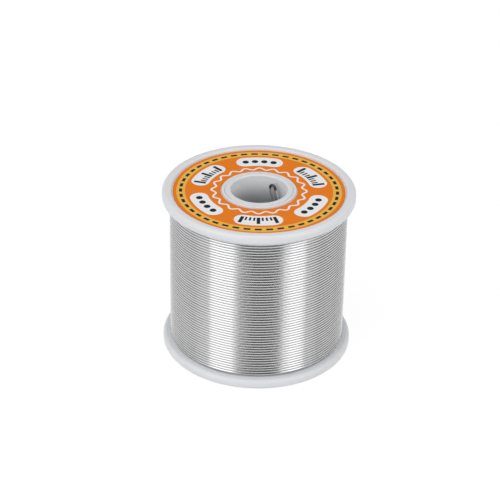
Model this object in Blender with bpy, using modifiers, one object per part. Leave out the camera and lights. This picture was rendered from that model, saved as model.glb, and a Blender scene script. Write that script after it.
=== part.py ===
"""A spool of solder wire: two moulded flanges on a tubular barrel, wound with flux-cored wire.

Metres, +Z up. The origin is on the spool's axis, in the plane that it stands on.
"""

import math

import bmesh
import bpy
from mathutils import Matrix, Vector

# The whole spool
SPOOL_HEIGHT = 0.0610
FLANGE_RADIUS = 0.0335
FIT_CLEARANCE = 0.0003

# A flange: a disc with a raised round rim, a recess for the label and a low collar round its hole
RIM_THICKNESS = 0.0035
RIM_WIDTH = 0.0034
RIM_EDGE_RADIUS = 0.0013
RIM_STEP_RADIUS = 0.0008
RECESS_DEPTH = 0.0010
COLLAR_WIDTH = 0.0008
COLLAR_HEIGHT = 0.0007
COLLAR_EDGE_RADIUS = 0.0003

# The barrel: a tube whose ends step down to spigots that carry the flanges
BORE_RADIUS = 0.0098
SPIGOT_WALL = 0.0020
SHOULDER_WIDTH = 0.0013
BORE_EDGE_RADIUS = 0.0005
SPIGOT_EDGE_RADIUS = 0.0003
BARREL_END_INSET = 0.0001

# The label: a paper ring glued into the upper flange's recess
LABEL_THICKNESS = 0.00015
LABEL_MARGIN = 0.0004
GLUE_GAP = 0.00005

# The winding: each loop of the outer layer stands for a little over two turns of the wire
FLANGE_OVERHANG = 0.0026
LOOPS = 24
LOOP_POINTS = 24
LOOP_GAP = 0.00045
LAYER_ENDS_AZIMUTH = math.radians(90)

# The wire's start end: in through a hole in the barrel, up its wall, and folded back as a hairpin
WIRE_DIAMETER = 0.0010
START_HOLE_DEPTH = 0.0092
START_AZIMUTH = math.radians(49)
START_STANDOFF = 0.0018
START_BEND_RADIUS = 0.0013
START_LEAN = math.radians(18)
HAIRPIN_DEPTH = 0.0018
HAIRPIN_RADIUS = 0.00115
HAIRPIN_RETURN = 0.0065
FLUX_DIAMETER = 0.0004
FLUX_LENGTH = 0.0030
FLUX_CLEARANCE = 0.00006

# How finely round shapes are cut
TURN_STEPS = 64
CORNER_STEPS = 3
BEND_STEPS = 6
ROD_SIDES = 12
LOOP_BEVEL_RESOLUTION = 1
START_BEVEL_RESOLUTION = 2
LARGEST_RIM_EDGE = 0.45
LARGEST_STEP_EDGE = 0.9
MERGE_DISTANCE = 0.000001
SHARP_ANGLE = math.radians(35)

# Places that follow from the sizes above
UPPER_SEAT = SPOOL_HEIGHT - RIM_THICKNESS
LOWER_SEAT = RIM_THICKNESS
SPIGOT_RADIUS = BORE_RADIUS + SPIGOT_WALL
BARREL_RADIUS = SPIGOT_RADIUS + SHOULDER_WIDTH
FLANGE_HOLE_RADIUS = SPIGOT_RADIUS + FIT_CLEARANCE
COLLAR_RADIUS = FLANGE_HOLE_RADIUS + COLLAR_WIDTH
RIM_INNER_RADIUS = FLANGE_RADIUS - RIM_WIDTH
RECESS_FLOOR = RIM_THICKNESS - RECESS_DEPTH
WINDING_BOTTOM = LOWER_SEAT + FIT_CLEARANCE
WINDING_TOP = UPPER_SEAT - FIT_CLEARANCE
WINDING_RADIUS = FLANGE_RADIUS - FLANGE_OVERHANG
LOOP_DIAMETER = (WINDING_TOP - WINDING_BOTTOM - LOOPS * LOOP_GAP) / (LOOPS + 1)
LOOP_RADIUS = WINDING_RADIUS - LOOP_DIAMETER / 2
CORE_RADIUS = LOOP_RADIUS * math.cos(math.pi / LOOP_POINTS) - LOOP_DIAMETER / 2 - FIT_CLEARANCE
START_HOLE_HEIGHT = SPOOL_HEIGHT - START_HOLE_DEPTH
START_HOLE_RADIUS = WIRE_DIAMETER / 2 + FIT_CLEARANCE

WHITE_PLASTIC = ((0.80, 0.81, 0.83), 0.38, 0.0)
ORANGE_PAPER = ((0.78, 0.20, 0.03), 0.55, 0.0)
BRIGHT_SOLDER = ((0.72, 0.72, 0.73), 0.25, 1.0)
AMBER_FLUX = ((0.55, 0.38, 0.14), 0.45, 0.0)


def cleared_scene():
    """Removes what is in the scene, and gives a collection for the parts and one for the cutters."""
    for item in list(bpy.data.objects):
        bpy.data.objects.remove(item, do_unlink=True)
    parts = bpy.data.collections.new("solder_wire_spool")
    cutters = bpy.data.collections.new("spool_cutters")
    bpy.context.scene.collection.children.link(parts)
    bpy.context.scene.collection.children.link(cutters)
    return parts, cutters


def finish_of(name, look):
    colour, roughness, metallic = look
    material = bpy.data.materials.new(name)
    material.use_nodes = True
    shader = material.node_tree.nodes["Principled BSDF"]
    shader.inputs["Base Color"].default_value = (*colour, 1.0)
    shader.inputs["Roughness"].default_value = roughness
    shader.inputs["Metallic"].default_value = metallic
    return material


def round_corner(radius, height, size, first, last):
    """Points of a rounded corner about a centre, from one angle to another in degrees."""
    points = []
    for step in range(CORNER_STEPS + 1):
        angle = math.radians(first + (last - first) * step / CORNER_STEPS)
        points.append((radius + size * math.cos(angle), height + size * math.sin(angle)))
    return points


def baked_mesh(piece):
    """The piece's mesh with its modifiers applied, its seams closed and its round faces smooth."""
    bpy.context.view_layer.update()
    graph = bpy.context.evaluated_depsgraph_get()
    mesh = bpy.data.meshes.new_from_object(piece.evaluated_get(graph))
    shape = bmesh.new()
    shape.from_mesh(mesh)
    bmesh.ops.remove_doubles(shape, verts=shape.verts, dist=MERGE_DISTANCE)
    shape.to_mesh(mesh)
    shape.free()
    mesh.shade_smooth()
    mesh.set_sharp_from_angle(angle=SHARP_ANGLE)
    return mesh


def turned(name, profile, parts, material):
    """A closed profile of (radius, height) points that runs down its outer side, turned about Z."""
    shape = bmesh.new()
    corners = [shape.verts.new((radius, 0.0, height)) for radius, height in profile]
    for first, second in zip(corners, corners[1:] + corners[:1]):
        shape.edges.new((first, second))
    mesh = bpy.data.meshes.new(name)
    shape.to_mesh(mesh)
    shape.free()
    piece = bpy.data.objects.new(name, mesh)
    parts.objects.link(piece)
    screw = piece.modifiers.new("turn", "SCREW")
    screw.steps = TURN_STEPS
    screw.render_steps = TURN_STEPS
    screw.use_merge_vertices = True
    screw.merge_threshold = MERGE_DISTANCE
    piece.data = baked_mesh(piece)
    piece.modifiers.clear()
    piece.data.materials.append(material)
    return piece


def rod(name, radius, start, end, collection):
    """A round rod from one point to another."""
    run = end - start
    turn = run.to_track_quat("Z", "Y").to_matrix().to_4x4()
    place = Matrix.Translation((start + end) / 2) @ turn
    shape = bmesh.new()
    bmesh.ops.create_cone(
        shape,
        cap_ends=True,
        segments=ROD_SIDES,
        radius1=radius,
        radius2=radius,
        depth=run.length,
        matrix=place,
    )
    mesh = bpy.data.meshes.new(name)
    shape.to_mesh(mesh)
    shape.free()
    mesh.shade_smooth()
    mesh.set_sharp_from_angle(angle=SHARP_ANGLE)
    piece = bpy.data.objects.new(name, mesh)
    collection.objects.link(piece)
    return piece


def cut(piece, cutter):
    """Takes the cutter's shape out of the piece."""
    cutter.hide_render = True
    cutter.display_type = "WIRE"
    boolean = piece.modifiers.new(cutter.name, "BOOLEAN")
    boolean.operation = "DIFFERENCE"
    boolean.solver = "EXACT"
    boolean.object = cutter


def tube(name, points, diameter, bevel_resolution, parts, material):
    """A round tube along the points, with closed ends."""
    path = bpy.data.curves.new(name, "CURVE")
    path.dimensions = "3D"
    path.bevel_depth = diameter / 2
    path.bevel_resolution = bevel_resolution
    path.use_fill_caps = True
    path.twist_mode = "Z_UP"
    spline = path.splines.new("POLY")
    spline.points.add(len(points) - 1)
    for place, point in zip(spline.points, points):
        place.co = (*point, 1.0)
    path.materials.append(material)
    piece = bpy.data.objects.new(name, path)
    parts.objects.link(piece)
    return piece


def flange_profile():
    """The flange lies on its winding side, at height 0, with its label side up."""
    collar_top = RECESS_FLOOR + COLLAR_HEIGHT
    edge = min(RIM_EDGE_RADIUS, LARGEST_RIM_EDGE * RIM_THICKNESS)
    step = min(RIM_STEP_RADIUS, LARGEST_STEP_EDGE * RECESS_DEPTH)
    collar_edge = min(COLLAR_EDGE_RADIUS, LARGEST_STEP_EDGE * COLLAR_HEIGHT)
    profile = [(FLANGE_HOLE_RADIUS, collar_top)]
    profile += round_corner(COLLAR_RADIUS - collar_edge, collar_top - collar_edge, collar_edge, 90, 0)
    profile += [(COLLAR_RADIUS, RECESS_FLOOR), (RIM_INNER_RADIUS, RECESS_FLOOR)]
    profile += round_corner(RIM_INNER_RADIUS + step, RIM_THICKNESS - step, step, 180, 90)
    profile += round_corner(FLANGE_RADIUS - edge, RIM_THICKNESS - edge, edge, 90, 0)
    profile += round_corner(FLANGE_RADIUS - edge, edge, edge, 0, -90)
    profile += [(FLANGE_HOLE_RADIUS, 0.0)]
    return profile


def add_flanges(parts, material):
    upper = turned("upper_flange", flange_profile(), parts, material)
    upper.location.z = UPPER_SEAT
    lower = bpy.data.objects.new("lower_flange", upper.data)
    lower.location.z = LOWER_SEAT
    lower.rotation_euler.x = math.pi
    parts.objects.link(lower)


def barrel_profile():
    bottom = BARREL_END_INSET
    top = SPOOL_HEIGHT - BARREL_END_INSET
    bore_edge = BORE_RADIUS + BORE_EDGE_RADIUS
    spigot_edge = SPIGOT_RADIUS - SPIGOT_EDGE_RADIUS
    profile = round_corner(bore_edge, top - BORE_EDGE_RADIUS, BORE_EDGE_RADIUS, 180, 90)
    profile += round_corner(spigot_edge, top - SPIGOT_EDGE_RADIUS, SPIGOT_EDGE_RADIUS, 90, 0)
    profile += [(SPIGOT_RADIUS, WINDING_TOP), (BARREL_RADIUS, WINDING_TOP)]
    profile += [(BARREL_RADIUS, WINDING_BOTTOM), (SPIGOT_RADIUS, WINDING_BOTTOM)]
    profile += round_corner(spigot_edge, bottom + SPIGOT_EDGE_RADIUS, SPIGOT_EDGE_RADIUS, 0, -90)
    profile += round_corner(bore_edge, bottom + BORE_EDGE_RADIUS, BORE_EDGE_RADIUS, -90, -180)
    return profile


def add_barrel(parts, cutters, material):
    barrel = turned("hub_barrel", barrel_profile(), parts, material)
    outward = Vector((math.cos(START_AZIMUTH), math.sin(START_AZIMUTH), 0.0))
    height = Vector((0.0, 0.0, START_HOLE_HEIGHT))
    inner_end = outward * (BORE_RADIUS - SPIGOT_WALL) + height
    outer_end = outward * (BARREL_RADIUS + SPIGOT_WALL) + height
    cut(barrel, rod("start_hole_cutter", START_HOLE_RADIUS, inner_end, outer_end, cutters))


def add_label(parts, material):
    bottom = UPPER_SEAT + RECESS_FLOOR + GLUE_GAP
    top = bottom + LABEL_THICKNESS
    inner = COLLAR_RADIUS + LABEL_MARGIN
    outer = RIM_INNER_RADIUS - LABEL_MARGIN
    profile = [(inner, top), (outer, top), (outer, bottom), (inner, bottom)]
    turned("top_label", profile, parts, material)


def add_inner_layers(parts, material):
    inner = BARREL_RADIUS + FIT_CLEARANCE
    profile = [(inner, WINDING_TOP), (CORE_RADIUS, WINDING_TOP)]
    profile += [(CORE_RADIUS, WINDING_BOTTOM), (inner, WINDING_BOTTOM)]
    turned("wire_inner_layers", profile, parts, material)


def least_gap(points, diameter, apart):
    """The least gap between stretches of a tube that lie more than so many points apart."""
    least = math.inf
    for index, point in enumerate(points):
        for other in points[index + apart :]:
            least = min(least, (other - point).length)
    return least - diameter


def outer_layer_route():
    """One layer of loops, laid side by side, with straight ends along the tangent."""
    pitch = LOOP_DIAMETER + LOOP_GAP
    lowest = WINDING_BOTTOM + LOOP_DIAMETER / 2
    points = []
    for count in range(LOOPS * LOOP_POINTS + 1):
        share = count / LOOP_POINTS
        angle = LAYER_ENDS_AZIMUTH + 2 * math.pi * share
        height = lowest + pitch * share
        points.append(Vector((LOOP_RADIUS * math.cos(angle), LOOP_RADIUS * math.sin(angle), height)))
    heading = Vector((-math.sin(LAYER_ENDS_AZIMUTH), math.cos(LAYER_ENDS_AZIMUTH), 0.0))
    tangent = LOOP_DIAMETER * heading
    return [points[0] - tangent, *points, points[-1] + tangent]


def add_outer_layer(parts, material):
    route = outer_layer_route()
    tube("wire_outer_layer", route, LOOP_DIAMETER, LOOP_BEVEL_RESOLUTION, parts, material)
    gap = least_gap(route, LOOP_DIAMETER, LOOP_POINTS // 2)
    print(f"wire_outer_layer: least gap to itself {gap * 1000:.2f} mm")


def start_end_route():
    """The wire's middle line from the barrel's outer wall to its cut end, and the way that end faces.

    Past the hole it bends into a leaning leg beside the bore's wall, and folds back near the top.
    """
    outward = Vector((math.cos(START_AZIMUTH), math.sin(START_AZIMUTH), 0.0))
    along = Vector((-math.sin(START_AZIMUTH), math.cos(START_AZIMUTH), 0.0))
    upward = Vector((0.0, 0.0, 1.0))
    leg_radius = BORE_RADIUS - START_STANDOFF
    lean = along * math.sin(START_LEAN) + upward * math.cos(START_LEAN)
    across = upward * math.sin(START_LEAN) - along * math.cos(START_LEAN)
    leg_foot = outward * leg_radius + upward * START_HOLE_HEIGHT + lean * START_BEND_RADIUS
    hairpin_top = SPOOL_HEIGHT - HAIRPIN_DEPTH - WIRE_DIAMETER / 2
    rise = hairpin_top - leg_foot.z - HAIRPIN_RADIUS * (1 + math.sin(START_LEAN))
    leg_length = rise / math.cos(START_LEAN)

    points = [outward * BARREL_RADIUS + upward * START_HOLE_HEIGHT]
    bend_centre = leg_foot + outward * START_BEND_RADIUS
    for step in range(BEND_STEPS + 1):
        angle = math.pi / 2 * (1 - step / BEND_STEPS)
        points.append(
            bend_centre
            - outward * START_BEND_RADIUS * math.cos(angle)
            - lean * START_BEND_RADIUS * math.sin(angle)
        )
    hairpin_centre = leg_foot + lean * leg_length + across * HAIRPIN_RADIUS
    for step in range(2 * BEND_STEPS + 1):
        angle = math.pi * step / (2 * BEND_STEPS)
        points.append(
            hairpin_centre
            - across * HAIRPIN_RADIUS * math.cos(angle)
            + lean * HAIRPIN_RADIUS * math.sin(angle)
        )
    points.append(points[-1] - lean * HAIRPIN_RETURN)
    return points, -lean


def add_start_end(parts, cutters, solder, flux):
    route, facing = start_end_route()
    wire = tube("wire_start_end", route, WIRE_DIAMETER, START_BEVEL_RESOLUTION, parts, solder)
    mesh = baked_mesh(wire)
    bpy.data.objects.remove(wire, do_unlink=True)
    wire = bpy.data.objects.new("wire_start_end", mesh)
    parts.objects.link(wire)

    cut_end = route[-1]
    deepest = cut_end - facing * FLUX_LENGTH
    past_end = cut_end + facing * WIRE_DIAMETER
    cut(wire, rod("flux_cutter", FLUX_DIAMETER / 2 + FLUX_CLEARANCE, deepest, past_end, cutters))
    core = rod("flux_core", FLUX_DIAMETER / 2, deepest + facing * FLUX_CLEARANCE, cut_end, parts)
    core.data.materials.append(flux)


def join_to_axis(parts):
    """Every piece hangs on one empty on the spool's axis, so the spool moves as a whole."""
    axis = bpy.data.objects.new("spool_axis", None)
    for piece in parts.objects:
        piece.parent = axis
    parts.objects.link(axis)


def build_spool():
    parts, cutters = cleared_scene()
    plastic = finish_of("white_plastic", WHITE_PLASTIC)
    paper = finish_of("orange_paper", ORANGE_PAPER)
    solder = finish_of("bright_solder", BRIGHT_SOLDER)
    flux = finish_of("amber_flux", AMBER_FLUX)
    add_barrel(parts, cutters, plastic)
    add_flanges(parts, plastic)
    add_label(parts, paper)
    add_inner_layers(parts, solder)
    add_outer_layer(parts, solder)
    add_start_end(parts, cutters, solder, flux)
    join_to_axis(parts)


build_spool()
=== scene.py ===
"""Looks of a spool of solder wire: white moulded flanges, close-wound bright wire and a printed label."""

import math

import bmesh
import bpy
from mathutils import Matrix, Vector


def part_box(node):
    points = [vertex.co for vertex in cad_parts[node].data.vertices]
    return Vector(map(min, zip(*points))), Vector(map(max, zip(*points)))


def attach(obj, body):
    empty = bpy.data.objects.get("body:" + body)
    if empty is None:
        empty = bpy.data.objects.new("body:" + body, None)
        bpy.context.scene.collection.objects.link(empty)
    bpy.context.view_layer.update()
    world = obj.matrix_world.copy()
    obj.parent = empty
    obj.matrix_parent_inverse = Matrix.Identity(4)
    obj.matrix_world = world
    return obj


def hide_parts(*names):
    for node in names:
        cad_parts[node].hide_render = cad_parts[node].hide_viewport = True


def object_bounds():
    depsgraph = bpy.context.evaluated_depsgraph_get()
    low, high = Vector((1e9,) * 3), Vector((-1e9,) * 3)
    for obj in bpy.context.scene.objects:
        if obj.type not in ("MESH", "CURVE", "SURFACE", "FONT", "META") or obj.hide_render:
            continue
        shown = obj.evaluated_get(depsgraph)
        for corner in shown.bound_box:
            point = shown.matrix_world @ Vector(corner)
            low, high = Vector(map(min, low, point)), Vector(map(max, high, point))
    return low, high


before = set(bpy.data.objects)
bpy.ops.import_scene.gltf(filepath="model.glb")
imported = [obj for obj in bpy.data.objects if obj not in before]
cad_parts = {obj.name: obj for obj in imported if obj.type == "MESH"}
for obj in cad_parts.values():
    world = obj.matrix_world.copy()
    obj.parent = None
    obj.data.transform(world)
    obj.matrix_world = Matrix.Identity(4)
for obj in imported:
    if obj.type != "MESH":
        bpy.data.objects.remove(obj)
cad_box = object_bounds()

ORIGIN = Vector((0.0, 0.0, 0.0))
UP = Vector((0.0, 0.0, 1.0))
WELD = 0.000001
SHARP_ANGLE = math.radians(35)
EDGE_SEGMENTS = 6

# Sizes that the frame gives
FLANGE_RADIUS = cad_box[1].x
SPOOL_HEIGHT = cad_box[1].z
SPOOL_MIDDLE = UP * SPOOL_HEIGHT / 2
RIM_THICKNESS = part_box("lower_flange")[1].z
LOWER_SEAT = RIM_THICKNESS
UPPER_SEAT = SPOOL_HEIGHT - RIM_THICKNESS
BARREL_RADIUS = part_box("hub_barrel")[1].x
BARREL_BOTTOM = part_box("hub_barrel")[0].z
BARREL_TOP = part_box("hub_barrel")[1].z
LABEL_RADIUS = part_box("top_label")[1].x
LABEL_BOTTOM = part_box("top_label")[0].z
LABEL_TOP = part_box("top_label")[1].z
WINDING_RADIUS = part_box("wire_outer_layer")[1].x

# Flanges
RIM_WIDTH = 0.0034
RIM_EDGE = 0.0013
RIM_STEP_EDGE = 0.0008
RECESS_DEPTH = 0.0010
FLANGE_HOLE_RADIUS = 0.01186
COLLAR_WIDTH = 0.00104
COLLAR_HEIGHT = 0.0007
COLLAR_EDGE = 0.0003
FLANGE_STEPS = 192

# Barrel, with depths into the bore at which its painted light and painted shade change
BORE_RADIUS = 0.0098
SPIGOT_RADIUS = 0.0118
BORE_EDGE = 0.0005
SPIGOT_EDGE = 0.0003
MOUTH_LIGHT_DEPTH = 0.0022
BORE_SHADE_FROM = 0.0022
BORE_SHADE_FULLY = 0.0112
BARREL_STEPS = 144

# Label, with ticks and dashes as a length across the ring and a width along it
LABEL_HOLE_RADIUS = 0.0133
LABEL_STEPS = 192
INK_BLEED = 0.00008
PANELS = 6
PANEL_RADIUS = 0.0212
PANEL_WIDTH = 0.0064
PANEL_REACH = math.radians(14)
MARKS_REACH = math.radians(18)
LONG_TICK = (0.0042, 0.0012)
LONG_TICK_SPACING = math.radians(16)
SHORT_TICK = (0.0022, 0.0007)
SHORT_TICK_SPACING = math.radians(4)
DOT_DIAMETER = 0.0023
DOT_SPACING = math.radians(9)
YELLOW_RADIUS = 0.0270
YELLOW_WIDTH = 0.0030
DASH = (0.0011, 0.0023)
DASH_SPACING = math.radians(8)
WAVY_RADIUS = 0.0157
WAVY_SWING = 0.0007
WAVY_WIDTH = 0.0007
WAVES = 20

# Winding, with its layers as far apart as wires that lie in each other's grooves
WIRE_RADIUS = 0.000495
WIRE_SIDES = 12
TURNS = 53
TURN_STEPS = 112
LAY_RADIUS = WINDING_RADIUS - WIRE_RADIUS
LAY_BOTTOM = LOWER_SEAT + WIRE_RADIUS
PITCH = (UPPER_SEAT - LOWER_SEAT - 2 * WIRE_RADIUS) / TURNS
LAYER_STEP = PITCH * math.sin(math.radians(60))
ENDS_AZIMUTH = math.radians(90)
DIVE_RADIUS = 0.013
DIVE_ANGLE = math.radians(42)
DIVE_STEPS = 14
DRUM_STEPS = 72
DRUM_ROUNDING_STEPS = 5

# Unevenness of the winding, with a rate and a start for each wave along the wire
LAY_UNEVENNESS = 0.000018
SWELLS = ((0.613, 0.0), (1.37, 2.0), (0.211, 4.0))
LIFTS = ((0.457, 1.0), (1.83, 3.0))

# Start end, with depths below the spool's top
START_AZIMUTH = math.radians(49)
START_HOLE_DEPTH = 0.0092
START_HOLE_HEIGHT = SPOOL_HEIGHT - START_HOLE_DEPTH
START_HOLE_RADIUS = 0.0008
START_HOLE_SIDES = 24
START_STANDOFF = 0.0018
START_SIDES = 20
START_LEAN = math.radians(18)
START_BEND_RADIUS = 0.0013
START_BEND_STEPS = 10
HAIRPIN_DEPTH = 0.0018
HAIRPIN_RADIUS = 0.00115
HAIRPIN_STEPS = 20
HAIRPIN_RETURN = 0.0065
FLUX_HOLE_RADIUS = 0.00026
FLUX_HOLE_DEPTH = 0.0030
# Depths between which painted shade darkens the fold
FOLD_SHADE_FULL_DEPTH = 0.0030
FOLD_SHADE_END_DEPTH = 0.0042

# Studio
FLOOR_REACH = 12.0
FLOOR_GAP = 0.00002
FLOOR_GLOW = 0.82
AMBIENT_LIGHT = 0.67
SOFTBOX_DISTANCE = 0.80
CARD_DISTANCE = 0.85
SIDE_CARD_DISTANCE = 0.90

# Colours, in linear light
PLASTIC_TONES = ((0.750, 0.766, 0.792, 1.0), (0.785, 0.799, 0.822, 1.0))
# Painted light at the bore's mouths and painted shade deeper in the bore
PAINTED_MOUTH_LIGHT = (0.915, 0.915, 0.920, 1.0)
PAINTED_BORE_SHADE = (0.400, 0.405, 0.415, 1.0)
ORANGE_INK = (0.860, 0.214, 0.008, 1.0)
FADED_ORANGE_INK = (0.808, 0.201, 0.0075, 1.0)
YELLOW_INK = (0.860, 0.472, 0.071, 1.0)
NAVY_INK = (0.013, 0.023, 0.037, 1.0)
PAPER_WHITE = (0.860, 0.865, 0.870, 1.0)
WOUND_TONES = ((0.600, 0.600, 0.609, 1.0), (0.660, 0.660, 0.660, 1.0))
# Painted light: the start end is the same solder as the wound wire, painted paler
PAINTED_PALER_START_TONES = ((0.800, 0.800, 0.812, 1.0), (0.880, 0.880, 0.880, 1.0))
# Painted shade on the start end's fold
PAINTED_FOLD_SHADE = (0.100, 0.100, 0.100, 1.0)
FLUX_TONES = ((0.360, 0.200, 0.050, 1.0), (0.620, 0.420, 0.150, 1.0))
FLOOR_LIT = (0.800, 0.800, 0.800, 1.0)
FLOOR_SEEN = (0.250, 0.250, 0.250, 1.0)
WHITE_LIGHT = (1.0, 1.0, 1.0, 1.0)


# Nodes

def put(finish, kind, inputs=None, **options):
    """Adds a node, sets its options and fills its inputs with values or with other nodes' outputs."""
    step = finish.node_tree.nodes.new(kind)
    for name, value in options.items():
        setattr(step, name, value)
    for key, value in (inputs or {}).items():
        if isinstance(value, bpy.types.NodeSocket):
            finish.node_tree.links.new(value, step.inputs[key])
        else:
            step.inputs[key].default_value = value
    return step


def maths(finish, operation, first, second=0.0, third=0.0, clamp=False):
    inputs = {0: first, 1: second, 2: third}
    return put(finish, "ShaderNodeMath", inputs, operation=operation, use_clamp=clamp).outputs[0]


def length(finish, first, second):
    """How long a line is that runs so far one way and so far at right angles to it."""
    line = put(finish, "ShaderNodeCombineXYZ", {0: first, 1: second}).outputs[0]
    return put(finish, "ShaderNodeVectorMath", {0: line}, operation="LENGTH").outputs["Value"]


def own_place(finish):
    """Where a point lies on its own piece."""
    return put(finish, "ShaderNodeTexCoord").outputs["Object"]


def own_axes(finish):
    """Where a point lies on its own piece, as its x, its y and its height."""
    return tuple(put(finish, "ShaderNodeSeparateXYZ", {0: own_place(finish)}).outputs)


def spread(finish, value, low, high):
    """Takes a value from 0 to 1 to a range."""
    inputs = {"Value": value, "To Min": low, "To Max": high}
    return put(finish, "ShaderNodeMapRange", inputs).outputs[0]


def ease(finish, value, low, high):
    """Goes smoothly from 0 to 1 as a value goes through a range."""
    inputs = {"Value": value, "From Min": low, "From Max": high}
    return put(finish, "ShaderNodeMapRange", inputs, interpolation_type="SMOOTHSTEP").outputs[0]


def grain(finish, scale, detail=2.0, stretch=(1.0, 1.0, 1.0)):
    """Noise on the piece's own coordinates, finer along an axis that is stretched more."""
    place = put(finish, "ShaderNodeMapping", {"Vector": own_place(finish), "Scale": stretch}).outputs[0]
    inputs = {"Vector": place, "Scale": scale, "Detail": detail}
    return put(finish, "ShaderNodeTexNoise", inputs).outputs[0]


def relief(finish, height, strength, depth):
    inputs = {"Height": height, "Strength": strength, "Distance": depth}
    return put(finish, "ShaderNodeBump", inputs).outputs[0]


def blend_colours(finish, share, first, second):
    """Goes from the first colour to the second; a Mix node has sockets of its own for colours."""
    inputs = {0: share, 6: first, 7: second}
    return put(finish, "ShaderNodeMix", inputs, data_type="RGBA").outputs[2]


def new_finish(name):
    finish = bpy.data.materials.new(name)
    finish.use_nodes = True
    return finish, finish.node_tree.nodes["Principled BSDF"]


def lead(finish, output, shader, socket):
    finish.node_tree.links.new(output, shader.inputs[socket])


def lay_over(finish, share, colour):
    """Lays a colour over the finish that is there, by a share from 0 to 1."""
    shader = finish.node_tree.nodes["Principled BSDF"]
    under = shader.inputs["Base Color"].links[0].from_socket
    lead(finish, blend_colours(finish, share, under, colour), shader, "Base Color")


# Finishes

def white_plastic(name, translucency, scatter):
    """Satin moulded plastic, a little translucent."""
    finish, shader = new_finish(name)
    clouds = grain(finish, scale=140.0, detail=3.0)
    sheen = grain(finish, scale=900.0)
    pitting = grain(finish, scale=3200.0)
    lead(finish, blend_colours(finish, clouds, *PLASTIC_TONES), shader, "Base Color")
    lead(finish, spread(finish, sheen, low=0.30, high=0.44), shader, "Roughness")
    lead(finish, relief(finish, pitting, strength=0.10, depth=0.00004), shader, "Normal")
    shader.inputs["Subsurface Weight"].default_value = translucency
    shader.inputs["Subsurface Scale"].default_value = scatter
    shader.inputs["Subsurface Radius"].default_value = (1.0, 0.9, 0.8)
    return finish


def barrel_plastic():
    """More of the plastic, with painted light that brightens the bore's mouths and painted shade that greys
    the bore deeper in.
    """
    finish = white_plastic("barrel_plastic", translucency=0.45, scatter=0.0035)
    half_height = SPOOL_HEIGHT / 2
    _, _, height = own_axes(finish)
    from_middle = maths(finish, "ABSOLUTE", maths(finish, "SUBTRACT", height, half_height))
    depth = maths(finish, "SUBTRACT", half_height, from_middle)
    # Painted light makes each mouth paler, and painted shade makes the bore greyer deeper in.
    lay_over(finish, ease(finish, depth, BORE_EDGE, MOUTH_LIGHT_DEPTH), PAINTED_MOUTH_LIGHT)
    lay_over(finish, ease(finish, depth, BORE_SHADE_FROM, BORE_SHADE_FULLY), PAINTED_BORE_SHADE)
    return finish


def bright_solder(name, tones, stretch, roughness):
    """Drawn wire: fine lines and dull patches that run along it."""
    finish, shader = new_finish(name)
    patches = grain(finish, scale=90.0, detail=3.0, stretch=stretch)
    lines = grain(finish, scale=520.0, stretch=stretch)
    lead(finish, blend_colours(finish, patches, *tones), shader, "Base Color")
    lead(finish, spread(finish, patches, *roughness), shader, "Roughness")
    lead(finish, relief(finish, lines, strength=0.04, depth=0.00002), shader, "Normal")
    shader.inputs["Metallic"].default_value = 1.0
    return finish


def wound_solder():
    return bright_solder("wound_solder", WOUND_TONES, stretch=(1.0, 1.0, 24.0), roughness=(0.09, 0.16))


def start_end_solder():
    """The same wire with less shine, paler as painted light, and with painted shade at its fold."""
    finish = bright_solder("start_end_solder", PAINTED_PALER_START_TONES, stretch=(6.0, 6.0, 2.0), roughness=(0.24, 0.38))
    _, _, height = own_axes(finish)
    unshaded_below = SPOOL_HEIGHT - FOLD_SHADE_END_DEPTH
    fully_shaded_above = SPOOL_HEIGHT - FOLD_SHADE_FULL_DEPTH
    # Painted shade darkens the fold towards its top
    lay_over(finish, ease(finish, height, unshaded_below, fully_shaded_above), PAINTED_FOLD_SHADE)
    return finish


def amber_flux():
    finish, shader = new_finish("amber_flux")
    clouds = grain(finish, scale=4000.0)
    sheen = grain(finish, scale=6000.0)
    lead(finish, blend_colours(finish, clouds, *FLUX_TONES), shader, "Base Color")
    lead(finish, spread(finish, sheen, low=0.30, high=0.55), shader, "Roughness")
    return finish


# Label print

def stripe(finish, value, middle, width):
    """1 inside a stripe of that width about a middle value, with edges as soft as ink on paper."""
    off_line = maths(finish, "ABSOLUTE", maths(finish, "SUBTRACT", value, middle))
    edge = width / 2 / INK_BLEED + 0.5
    return maths(finish, "MULTIPLY_ADD", off_line, -1 / INK_BLEED, edge, clamp=True)


def wrapped(finish, around, reach):
    """The angle from the nearest of a row of places that lie twice the reach apart."""
    return maths(finish, "WRAP", around, reach, -reach)


def arc_band(finish, around, radius, middle, width, reach):
    """1 on a round-ended band that runs along an arc, to a reach on each side of the arc's middle."""
    past_end = maths(finish, "SUBTRACT", maths(finish, "ABSOLUTE", around), reach)
    beyond = maths(finish, "MULTIPLY", maths(finish, "MAXIMUM", past_end, 0.0), radius)
    off_line = maths(finish, "SUBTRACT", radius, middle)
    return stripe(finish, length(finish, beyond, off_line), 0.0, width)


def repeated(finish, around, radius, spacing, shift, reach):
    """Distance along the arc to the nearest of a row of marks, and 1 where the row reaches."""
    step = maths(finish, "PINGPONG", maths(finish, "ADD", around, shift), spacing / 2)
    near = maths(finish, "MULTIPLY", step, radius)
    inside = maths(finish, "LESS_THAN", maths(finish, "ABSOLUTE", around), reach)
    return near, inside


def bars(finish, around, radius, middle, size, spacing, reach):
    """A row of bars, each that long across the ring and that wide along it."""
    bar_length, bar_width = size
    near, inside = repeated(finish, around, radius, spacing, 0.0, reach)
    across = stripe(finish, near, 0.0, bar_width)
    along = stripe(finish, radius, middle, bar_length)
    return maths(finish, "MULTIPLY", maths(finish, "MULTIPLY", across, along), inside)


def dots(finish, around, radius, middle, diameter, spacing, reach):
    """A row of dots, half a step from where the bars of the same spacing are."""
    near, inside = repeated(finish, around, radius, spacing, spacing / 2, reach)
    off_line = maths(finish, "SUBTRACT", radius, middle)
    disc = stripe(finish, length(finish, near, off_line), 0.0, diameter)
    return maths(finish, "MULTIPLY", disc, inside)


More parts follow.
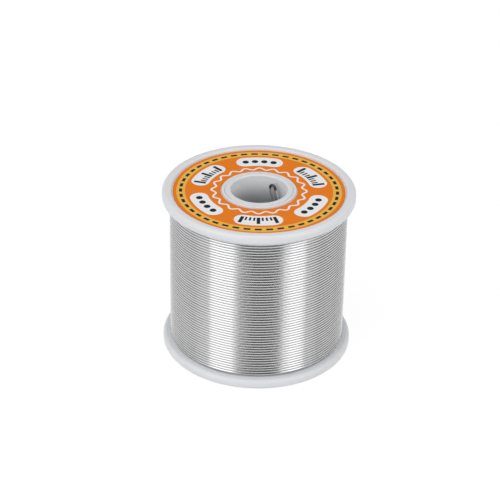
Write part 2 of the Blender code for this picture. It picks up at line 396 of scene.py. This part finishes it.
def wave(finish, around, radius, middle, swing, waves, width):
    """A wavy line round the full circle, with so many waves."""
    phase = maths(finish, "MULTIPLY", around, waves)
    level = maths(finish, "MULTIPLY_ADD", maths(finish, "COSINE", phase), swing, middle)
    slope = maths(finish, "MULTIPLY", maths(finish, "SINE", phase), swing * waves / middle)
    slant = maths(finish, "SQRT", maths(finish, "MULTIPLY_ADD", slope, slope, 1.0))
    off_line = maths(finish, "DIVIDE", maths(finish, "SUBTRACT", radius, level), slant)
    return stripe(finish, off_line, 0.0, width)


def printed_paper():
    """Orange coated paper with white panels of ticks and dots, a dashed yellow ring and a wavy line."""
    finish, shader = new_finish("printed_label_paper")
    x, y, _ = own_axes(finish)
    radius = length(finish, x, y)
    around = maths(finish, "ARCTAN2", x, maths(finish, "MULTIPLY", y, -1.0))

    panel_step = math.tau / PANELS
    at_panel = wrapped(finish, around, panel_step / 2)
    at_ticks = wrapped(finish, around, panel_step)
    at_dots = wrapped(finish, maths(finish, "ADD", around, panel_step), panel_step)
    short_middle = PANEL_RADIUS - (LONG_TICK[0] - SHORT_TICK[0]) / 2

    panels = arc_band(finish, at_panel, radius, PANEL_RADIUS, PANEL_WIDTH, PANEL_REACH)
    long_ticks = bars(finish, at_ticks, radius, PANEL_RADIUS, LONG_TICK, LONG_TICK_SPACING, MARKS_REACH)
    short_ticks = bars(finish, at_ticks, radius, short_middle, SHORT_TICK, SHORT_TICK_SPACING, MARKS_REACH)
    bold_dots = dots(finish, at_dots, radius, PANEL_RADIUS, DOT_DIAMETER, DOT_SPACING, MARKS_REACH)
    yellow_ring = stripe(finish, radius, YELLOW_RADIUS, YELLOW_WIDTH)
    dashes = bars(finish, around, radius, YELLOW_RADIUS, DASH, DASH_SPACING, math.tau)
    wavy_ring = wave(finish, around, radius, WAVY_RADIUS, WAVY_SWING, WAVES, WAVY_WIDTH)

    clouds = grain(finish, scale=260.0, detail=3.0)
    sheen = grain(finish, scale=1500.0)
    fibres = grain(finish, scale=2600.0, detail=4.0)
    lead(finish, blend_colours(finish, clouds, ORANGE_INK, FADED_ORANGE_INK), shader, "Base Color")
    for mask, ink in (
        (panels, PAPER_WHITE),
        (long_ticks, NAVY_INK),
        (short_ticks, NAVY_INK),
        (bold_dots, NAVY_INK),
        (yellow_ring, YELLOW_INK),
        (dashes, NAVY_INK),
        (wavy_ring, PAPER_WHITE),
    ):
        lay_over(finish, mask, ink)
    lead(finish, spread(finish, sheen, low=0.42, high=0.56), shader, "Roughness")
    lead(finish, relief(finish, fibres, strength=0.12, depth=0.00003), shader, "Normal")
    shader.inputs["Specular IOR Level"].default_value = 0.12
    return finish


# Tools for shapes

def turned(outline, steps):
    """A closed outline of (radius, height, rounding) corners, rounded and spun about the spool's axis."""
    shape = bmesh.new()
    corners = [shape.verts.new((radius, 0.0, height)) for radius, height, _ in outline]
    shape.faces.new(corners)
    for corner, (_, _, rounding) in zip(corners, outline):
        if rounding:
            bmesh.ops.bevel(
                shape,
                geom=[corner],
                offset=rounding,
                affect="VERTICES",
                segments=EDGE_SEGMENTS,
                profile=0.5,
                material=-1,
            )
    bmesh.ops.delete(shape, geom=shape.faces[:], context="FACES_ONLY")
    spin_round(shape, steps)
    return shape


def spin_round(shape, steps):
    """Spins all of a profile once round the spool's axis."""
    profile = shape.verts[:] + shape.edges[:]
    bmesh.ops.spin(shape, geom=profile, cent=ORIGIN, axis=UP, angle=math.tau, steps=steps, use_merge=True)


def of_kind(geometry, kind):
    return [item for item in geometry if isinstance(item, kind)]


def corners_of(ring):
    """The vertices of a ring of edges, each once."""
    return list(dict.fromkeys(vert for edge in ring for vert in edge.verts))


def extruded(shape, ring, run):
    """Carries an open ring of edges on by a run, and gives the new ring."""
    grown = bmesh.ops.extrude_edge_only(shape, edges=ring)["geom"]
    bmesh.ops.translate(shape, verts=of_kind(grown, bmesh.types.BMVert), vec=run)
    return [edge for edge in of_kind(grown, bmesh.types.BMEdge) if edge.is_boundary]


def bent(shape, ring, centre, axis, angle, steps):
    """Carries an open ring of edges on round a bend, and gives the new ring."""
    section = corners_of(ring) + ring
    bend = bmesh.ops.spin(shape, geom=section, cent=centre, axis=axis, angle=angle, steps=steps)
    return of_kind(bend["geom_last"], bmesh.types.BMEdge)


def stack_turns(shape, count):
    """Repeats one turn up the spool until there are that many, and joins each to the next."""
    one_turn = shape.verts[:] + shape.edges[:] + shape.faces[:]
    for above in range(1, count):
        copy = bmesh.ops.duplicate(shape, geom=one_turn)["geom"]
        bmesh.ops.translate(shape, verts=of_kind(copy, bmesh.types.BMVert), vec=UP * PITCH * above)
    bmesh.ops.remove_doubles(shape, verts=shape.verts, dist=WELD)


def new_object(shape, name):
    mesh = bpy.data.meshes.new(name)
    shape.to_mesh(mesh)
    shape.free()
    made = bpy.data.objects.new(name, mesh)
    bpy.context.scene.collection.objects.link(made)
    return made


def add_piece(shape, name, finish, node):
    """Closes a shape into a smooth piece that rides on the spool and stands for its node."""
    bmesh.ops.remove_doubles(shape, verts=shape.verts, dist=WELD)
    bmesh.ops.recalc_face_normals(shape, faces=shape.faces)
    piece = new_object(shape, name)
    piece.data.shade_smooth()
    piece.data.set_sharp_from_angle(angle=SHARP_ANGLE)
    piece.data.materials.append(finish)
    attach(piece, "root")
    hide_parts(node)
    return piece


def drill(piece, shape):
    """Takes a shape out of a piece."""
    bit = new_object(shape, "drill")
    cut = piece.modifiers.new("drill", "BOOLEAN")
    cut.object = bit
    bpy.context.view_layer.update()
    graph = bpy.context.evaluated_depsgraph_get()
    drilled = bpy.data.meshes.new_from_object(piece.evaluated_get(graph))
    drilled.set_sharp_from_angle(angle=SHARP_ANGLE)
    piece.modifiers.clear()
    piece.data = drilled
    bpy.data.objects.remove(bit)


# Pieces

def flange_shape():
    """A flange on its winding side at height 0, with its label side up."""
    rim_inner = FLANGE_RADIUS - RIM_WIDTH
    floor = RIM_THICKNESS - RECESS_DEPTH
    collar = FLANGE_HOLE_RADIUS + COLLAR_WIDTH
    outline = [
        (FLANGE_HOLE_RADIUS, floor + COLLAR_HEIGHT, COLLAR_EDGE),
        (collar, floor + COLLAR_HEIGHT, COLLAR_EDGE),
        (collar, floor, 0.0),
        (rim_inner, floor, 0.0),
        (rim_inner, RIM_THICKNESS, RIM_STEP_EDGE),
        (FLANGE_RADIUS, RIM_THICKNESS, RIM_EDGE),
        (FLANGE_RADIUS, 0.0, RIM_EDGE),
        (FLANGE_HOLE_RADIUS, 0.0, 0.0),
    ]
    return turned(outline, FLANGE_STEPS)


def add_flanges(finish):
    """Two like mouldings: the upper one with its label side up, and the lower one the other way up."""
    upper = flange_shape()
    bmesh.ops.translate(upper, verts=upper.verts, vec=UP * UPPER_SEAT)
    add_piece(upper, "flange_upper", finish, "upper_flange")
    lower = flange_shape()
    half_turn = Matrix.Rotation(math.pi, 3, "X")
    bmesh.ops.rotate(lower, verts=lower.verts, cent=ORIGIN, matrix=half_turn)
    bmesh.ops.translate(lower, verts=lower.verts, vec=UP * LOWER_SEAT)
    add_piece(lower, "flange_lower", finish, "lower_flange")


def add_barrel(finish):
    """A tube that steps down to a spigot for each flange, with a hole where the wire starts."""
    outline = [
        (BORE_RADIUS, BARREL_TOP, BORE_EDGE),
        (SPIGOT_RADIUS, BARREL_TOP, SPIGOT_EDGE),
        (SPIGOT_RADIUS, UPPER_SEAT, 0.0),
        (BARREL_RADIUS, UPPER_SEAT, 0.0),
        (BARREL_RADIUS, LOWER_SEAT, 0.0),
        (SPIGOT_RADIUS, LOWER_SEAT, 0.0),
        (SPIGOT_RADIUS, BARREL_BOTTOM, SPIGOT_EDGE),
        (BORE_RADIUS, BARREL_BOTTOM, BORE_EDGE),
    ]
    barrel = add_piece(turned(outline, BARREL_STEPS), "barrel", finish, "hub_barrel")
    hole = bmesh.new()
    mid_wall = Vector(((BORE_RADIUS + BARREL_RADIUS) / 2, 0.0, START_HOLE_HEIGHT))
    place = Matrix.Rotation(START_AZIMUTH, 4, "Z") @ Matrix.Translation(mid_wall)
    bmesh.ops.create_cone(
        hole,
        cap_ends=True,
        segments=START_HOLE_SIDES,
        radius1=START_HOLE_RADIUS,
        radius2=START_HOLE_RADIUS,
        depth=2 * (BARREL_RADIUS - BORE_RADIUS),
        matrix=place @ Matrix.Rotation(math.pi / 2, 4, "Y"),
    )
    drill(barrel, hole)


def add_label(finish):
    outline = [
        (LABEL_HOLE_RADIUS, LABEL_TOP, 0.0),
        (LABEL_RADIUS, LABEL_TOP, 0.0),
        (LABEL_RADIUS, LABEL_BOTTOM, 0.0),
        (LABEL_HOLE_RADIUS, LABEL_BOTTOM, 0.0),
    ]
    add_piece(turned(outline, LABEL_STEPS), "ring_label", finish, "top_label")


def add_inner_layers(finish):
    """The layers under the outer one: a drum whose surface is the outer halves of its turns."""
    shape = bmesh.new()
    lie = LAY_RADIUS - LAYER_STEP
    foot = shape.verts.new((lie, 0.0, LOWER_SEAT))
    bmesh.ops.spin(
        shape,
        geom=[foot],
        cent=(lie, 0.0, LOWER_SEAT + PITCH / 2),
        axis=(0.0, 1.0, 0.0),
        angle=-math.pi,
        steps=DRUM_ROUNDING_STEPS,
    )
    stack_turns(shape, TURNS + 1)
    bottom = min(shape.verts, key=lambda vert: vert.co.z)
    top = max(shape.verts, key=lambda vert: vert.co.z)
    inner_bottom = shape.verts.new((BARREL_RADIUS, 0.0, bottom.co.z))
    inner_top = shape.verts.new((BARREL_RADIUS, 0.0, top.co.z))
    for pair in ((bottom, inner_bottom), (inner_bottom, inner_top), (inner_top, top)):
        shape.edges.new(pair)
    spin_round(shape, DRUM_STEPS)
    add_piece(shape, "inner_wire_layers", finish, "wire_inner_layers")


def wander(wound, waves):
    """A slow swing to and fro along the wire, which adds up a few waves."""
    return sum(math.sin(rate * wound + start) for rate, start in waves)


def make_uneven(shape):
    """Moves the turns a little in and out and up and down, as wire settles when it is wound."""
    for vert in shape.verts:
        angle = math.atan2(vert.co.y, vert.co.x) - ENDS_AZIMUTH
        climbed = (vert.co.z - LAY_BOTTOM) / PITCH
        wound = angle + math.tau * round(climbed - angle / math.tau)
        outward = Vector((vert.co.x, vert.co.y, 0.0)).normalized()
        shift = outward * wander(wound, SWELLS) + UP * wander(wound, LIFTS)
        vert.co += shift * LAY_UNEVENNESS / 2


def add_outer_layer(finish):
    """One long helix of wire, whose two ends dip under their neighbours at the back."""
    shape = bmesh.new()
    place = Matrix.Rotation(ENDS_AZIMUTH, 4, "Z") @ Matrix.Translation((LAY_RADIUS, 0.0, LAY_BOTTOM))
    upright = place @ Matrix.Rotation(math.pi / 2, 4, "X")
    bmesh.ops.create_circle(shape, segments=WIRE_SIDES, radius=WIRE_RADIUS, matrix=upright)
    section = shape.verts[:] + shape.edges[:]
    rise = UP * PITCH / TURN_STEPS
    bmesh.ops.spin(shape, geom=section, cent=ORIGIN, axis=UP, dvec=rise, angle=math.tau, steps=TURN_STEPS)
    stack_turns(shape, TURNS)
    make_uneven(shape)

    backward = Vector((math.cos(ENDS_AZIMUTH), math.sin(ENDS_AZIMUTH), 0.0))
    dive_centre = backward * (LAY_RADIUS - DIVE_RADIUS)
    ends = [edge for edge in shape.edges if edge.is_boundary]
    for way in (-1, 1):
        end = [edge for edge in ends if (edge.verts[0].co.z - SPOOL_MIDDLE.z) * way > 0]
        bent(shape, end, dive_centre, UP, way * DIVE_ANGLE, DIVE_STEPS)
    bmesh.ops.holes_fill(shape, edges=shape.edges[:], sides=WIRE_SIDES)
    add_piece(shape, "outer_wire_layer", finish, "wire_outer_layer")


def add_start_end(finish):
    """The wire's first end: in through the barrel, up beside the bore's wall and folded back down."""
    outward = Vector((math.cos(START_AZIMUTH), math.sin(START_AZIMUTH), 0.0))
    along = UP.cross(outward)
    lean = along * math.sin(START_LEAN) + UP * math.cos(START_LEAN)
    across = UP * math.sin(START_LEAN) - along * math.cos(START_LEAN)
    leg_radius = BORE_RADIUS - START_STANDOFF
    bend_start = outward * (leg_radius + START_BEND_RADIUS) + UP * START_HOLE_HEIGHT
    bend_centre = bend_start + lean * START_BEND_RADIUS
    leg_foot = bend_centre - outward * START_BEND_RADIUS
    hairpin_top = SPOOL_HEIGHT - HAIRPIN_DEPTH - WIRE_RADIUS
    rise = hairpin_top - leg_foot.z - HAIRPIN_RADIUS * (1 + math.sin(START_LEAN))
    leg = lean * rise / math.cos(START_LEAN)
    hairpin_centre = leg_foot + leg + across * HAIRPIN_RADIUS

    shape = bmesh.new()
    mouth = outward * BARREL_RADIUS + UP * START_HOLE_HEIGHT
    place = Matrix.Translation(mouth) @ outward.to_track_quat("Z", "Y").to_matrix().to_4x4()
    bmesh.ops.create_circle(shape, segments=START_SIDES, radius=WIRE_RADIUS, matrix=place)
    ring = extruded(shape, shape.edges[:], bend_start - mouth)
    ring = bent(shape, ring, bend_centre, lean.cross(outward), math.pi / 2, START_BEND_STEPS)
    ring = extruded(shape, ring, leg)
    ring = bent(shape, ring, hairpin_centre, lean.cross(across), math.pi, HAIRPIN_STEPS)
    ring = extruded(shape, ring, -lean * HAIRPIN_RETURN)

    tip = sum((corner.co for corner in corners_of(ring)), Vector()) / START_SIDES
    ring = extruded(shape, ring, ORIGIN)
    shrink = FLUX_HOLE_RADIUS / WIRE_RADIUS
    bmesh.ops.scale(shape, verts=corners_of(ring), vec=(shrink,) * 3, space=Matrix.Translation(-tip))
    extruded(shape, ring, lean * FLUX_HOLE_DEPTH)
    bmesh.ops.holes_fill(shape, edges=shape.edges[:], sides=0)
    add_piece(shape, "start_hairpin", finish, "wire_start_end")


# Studio

def seen_rays(finish):
    """1 for what the camera sees straight, in a mirror or through glass, and 0 for the light that falls."""
    path = put(finish, "ShaderNodeLightPath")
    mirror = maths(finish, "MAXIMUM", path.outputs["Is Glossy Ray"], path.outputs["Is Transmission Ray"])
    return maths(finish, "MAXIMUM", path.outputs["Is Camera Ray"], mirror)


def bare_finish(name):
    finish = bpy.data.materials.new(name)
    finish.use_nodes = True
    finish.node_tree.nodes.clear()
    return finish


def white_floor():
    """Looks white and keeps the spool's shadow, while it gives back light as a plain pale floor does."""
    finish = bare_finish("white_floor")
    lit = put(finish, "ShaderNodeBsdfDiffuse", {"Color": FLOOR_LIT}).outputs[0]
    shaded = put(finish, "ShaderNodeBsdfDiffuse", {"Color": FLOOR_SEEN}).outputs[0]
    glow = put(finish, "ShaderNodeEmission", {"Color": WHITE_LIGHT, "Strength": FLOOR_GLOW}).outputs[0]
    seen = put(finish, "ShaderNodeAddShader", {0: shaded, 1: glow}).outputs[0]
    look = put(finish, "ShaderNodeMixShader", {0: seen_rays(finish), 1: lit, 2: seen}).outputs[0]
    put(finish, "ShaderNodeOutputMaterial", {"Surface": look})
    return finish


def add_floor():
    """A wide floor, a hair below the rim that stands on it."""
    shape = bmesh.new()
    bmesh.ops.create_grid(shape, x_segments=1, y_segments=1, size=FLOOR_REACH)
    bmesh.ops.translate(shape, verts=shape.verts, vec=UP * -FLOOR_GAP)
    floor = new_object(shape, "studio_floor")
    floor.data.materials.append(white_floor())


def add_surroundings():
    world = bpy.data.worlds.new("white_studio")
    bpy.context.scene.world = world
    world.use_nodes = True
    world.node_tree.nodes.clear()
    background = "ShaderNodeBackground"
    ambient = put(world, background, {"Color": WHITE_LIGHT, "Strength": AMBIENT_LIGHT}).outputs[0]
    white = put(world, background, {"Color": WHITE_LIGHT, "Strength": 1.0}).outputs[0]
    look = put(world, "ShaderNodeMixShader", {0: seen_rays(world), 1: ambient, 2: white}).outputs[0]
    put(world, "ShaderNodeOutputWorld", {"Surface": look})


def toward(azimuth, elevation, distance):
    """A place round the spool: azimuth 0 is the camera's side, and 90 the side to its right."""
    turn, tilt = math.radians(azimuth), math.radians(elevation)
    flat = Vector((math.sin(turn), -math.cos(turn), 0.0)) * math.cos(tilt)
    return (flat + UP * math.sin(tilt)) * distance


def facing_spool(place):
    return (SPOOL_MIDDLE - place).to_track_quat("-Z", "Y").to_euler()


def add_softbox(name, place, size, power):
    lamp = bpy.data.lights.new(name, "AREA")
    lamp.shape = "RECTANGLE"
    lamp.size, lamp.size_y = size
    lamp.energy = power
    softbox = bpy.data.objects.new(name, lamp)
    softbox.location = place
    softbox.rotation_euler = facing_spool(place)
    bpy.context.scene.collection.objects.link(softbox)


def card_finish(name, shade):
    finish = bare_finish(name)
    glow = put(finish, "ShaderNodeEmission", {"Color": WHITE_LIGHT, "Strength": shade}).outputs[0]
    put(finish, "ShaderNodeOutputMaterial", {"Surface": glow})
    return finish


def add_card(name, place, size, shade):
    """A card that only shows as a reflection, as the room round the camera does."""
    width, height = size
    shape = bmesh.new()
    bmesh.ops.create_grid(shape, x_segments=1, y_segments=1, size=1.0)
    bmesh.ops.scale(shape, verts=shape.verts, vec=(width / 2, height / 2, 1.0))
    card = new_object(shape, name)
    card.data.materials.append(card_finish(name, shade))
    card.location = place
    card.rotation_euler = facing_spool(place)
    card.visible_camera = False
    card.visible_diffuse = False
    card.visible_shadow = False
    card.visible_transmission = False


def add_camera():
    """The photograph's view, from the front and above, with its angles in degrees."""
    image_pixels = 500
    focal_pixels = 1697.2
    distance = 0.59935
    elevation = 31.19
    roll = 1.15
    middle_right = 7.6
    middle_down = 14.1
    lens = bpy.data.cameras.new("photo_camera")
    lens.sensor_width = 36.0
    lens.lens = focal_pixels / image_pixels * lens.sensor_width
    lens.clip_start = 0.01
    camera = bpy.data.objects.new("photo_camera", lens)
    bpy.context.scene.collection.objects.link(camera)
    place = SPOOL_MIDDLE + toward(0.0, elevation, distance)
    raised = Matrix.Rotation(math.radians(90 - elevation), 4, "X")
    rolled = Matrix.Rotation(math.radians(roll), 4, "Z")
    swung = Matrix.Rotation(math.atan(middle_right / focal_pixels), 4, "Y")
    tilted = Matrix.Rotation(math.atan(middle_down / focal_pixels), 4, "X")
    camera.matrix_world = Matrix.Translation(place) @ raised @ rolled @ swung @ tilted
    bpy.context.scene.camera = camera


add_camera()
add_floor()
add_surroundings()
add_softbox("softbox_left", toward(-44.0, 38.0, SOFTBOX_DISTANCE), size=(0.46, 1.50), power=2.35)
add_softbox("softbox_right", toward(50.0, 34.0, SOFTBOX_DISTANCE), size=(0.30, 1.25), power=1.25)
add_card("dark_card", toward(2.1, 32.0, CARD_DISTANCE), size=(0.826, 1.22), shade=0.02)
add_card("grey_card_left", toward(-120.0, 25.0, SIDE_CARD_DISTANCE), size=(1.60, 1.30), shade=0.45)
add_card("grey_card_right", toward(120.0, 25.0, SIDE_CARD_DISTANCE), size=(1.74, 1.30), shade=0.34)
add_card("grey_card_back", toward(180.0, 25.0, CARD_DISTANCE), size=(0.50, 1.20), shade=0.12)

winding_finish = wound_solder()
add_flanges(white_plastic("flange_plastic", translucency=0.10, scatter=0.0015))
add_barrel(barrel_plastic())
add_label(printed_paper())
add_inner_layers(winding_finish)
add_outer_layer(winding_finish)
add_start_end(start_end_solder())
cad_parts["flux_core"].material_slots[0].material = amber_flux()

bpy.context.scene.view_settings.view_transform = "Standard"
